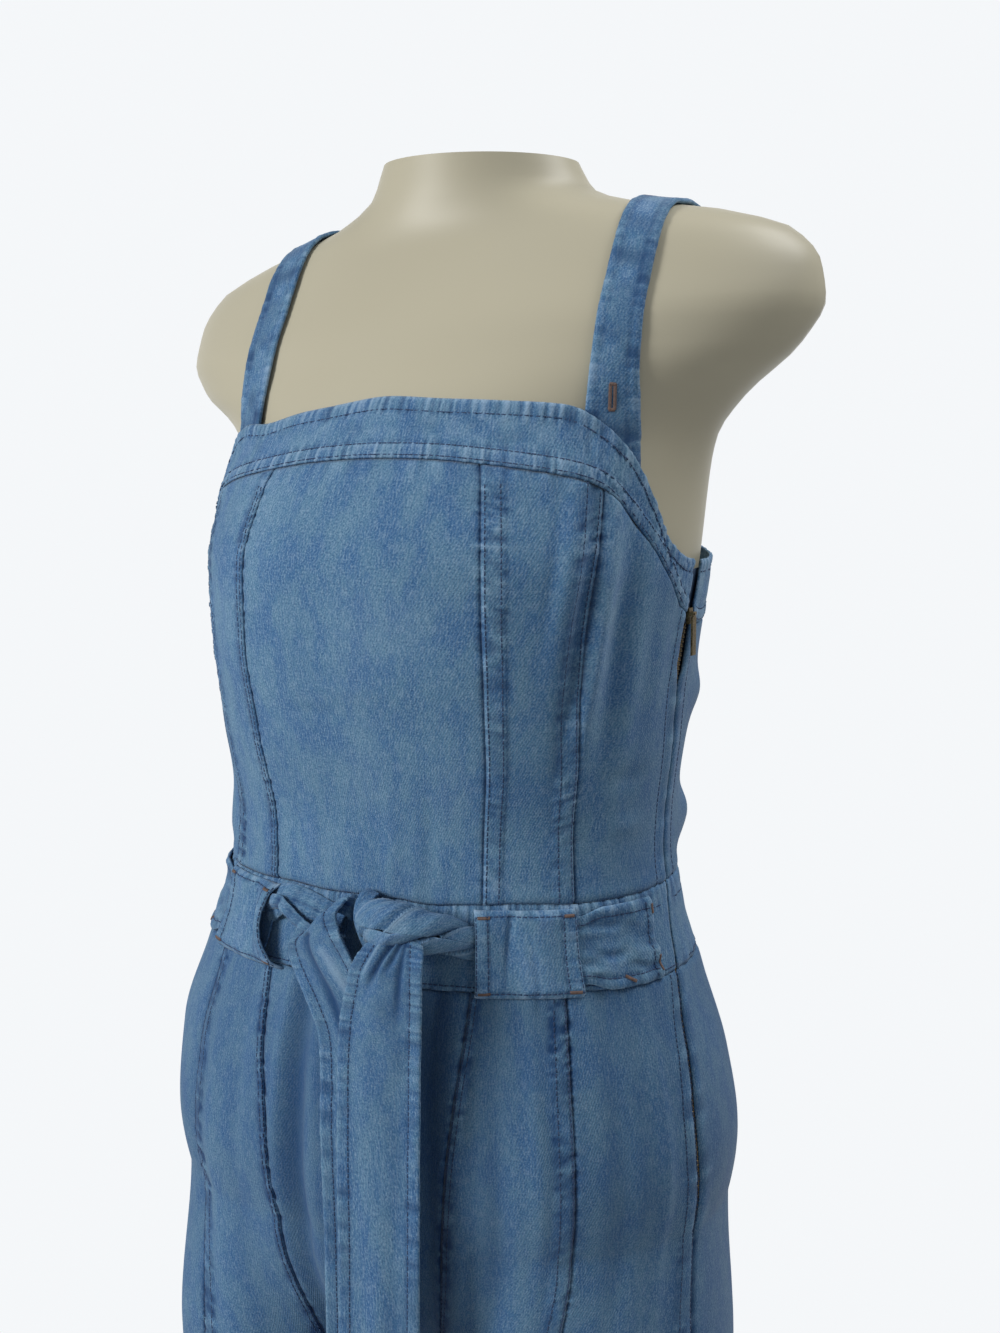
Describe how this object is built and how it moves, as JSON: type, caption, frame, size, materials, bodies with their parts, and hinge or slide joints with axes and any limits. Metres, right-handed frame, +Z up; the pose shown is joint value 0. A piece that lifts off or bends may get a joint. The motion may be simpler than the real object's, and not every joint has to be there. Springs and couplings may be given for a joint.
{
  "type": "denim jumpsuit on a dress form",
  "caption": "Wide-leg denim jumpsuit with shoulder straps, a banded square neckline, a side zip and a tied sash, shown on a limbless dress form on a round stand.",
  "frame": {"origin": "middle of the underside of the round base, on the floor", "axes": "+Z up, the wearer faces -Y, the wearer's left is +X"},
  "size_m": [0.4206, 0.38, 1.476],
  "materials": {
    "denim": "mid-blue stonewashed denim twill",
    "form": "cream, satin",
    "stand": "satin steel",
    "zip_metal": "antique brass",
    "tape": "dark blue woven tape"
  },
  "bodies": {
    "jumpsuit": {"belt_carrier_left": "denim", "belt_carrier_right": "denim", "bodice_back": "denim", "bodice_front": "denim", "bodice_side_front_left": "denim", "bodice_side_front_right": "denim", "bodice_side_left": "denim", "bodice_side_right": "denim", "form_torso": "form", "sash_knot": "denim", "sash_left": "denim", "sash_right": "denim", "sash_tail_back": "denim", "sash_tail_front": "denim", "stand_base": "stand", "stand_collar": "stand", "stand_pole": "stand", "strap_left": "denim", "strap_right": "denim", "top_band_back": "denim", "top_band_front": "denim", "trouser_back_left": "denim", "trouser_back_right": "denim", "trouser_front_inner_left": "denim", "trouser_front_inner_right": "denim", "trouser_front_middle_left": "denim", "trouser_front_middle_right": "denim", "trouser_front_side_left": "denim", "trouser_front_side_right": "denim", "waistband_back": "denim", "waistband_front": "denim", "zip_chain": "zip_metal", "zip_slider": "zip_metal", "zip_tape": "tape"},
    "pull_tab": {"zip_pull_tab": "zip_metal"}
  },
  "joints": [
    {"name": "zip_pull_tab_hinge", "type": "hinge", "parent": "jumpsuit", "child": "pull_tab", "pos_m": [0.15072, 0.00624, 1.2152], "axis": [0, -1, 0], "range_deg": [0, 150]}
  ]
}
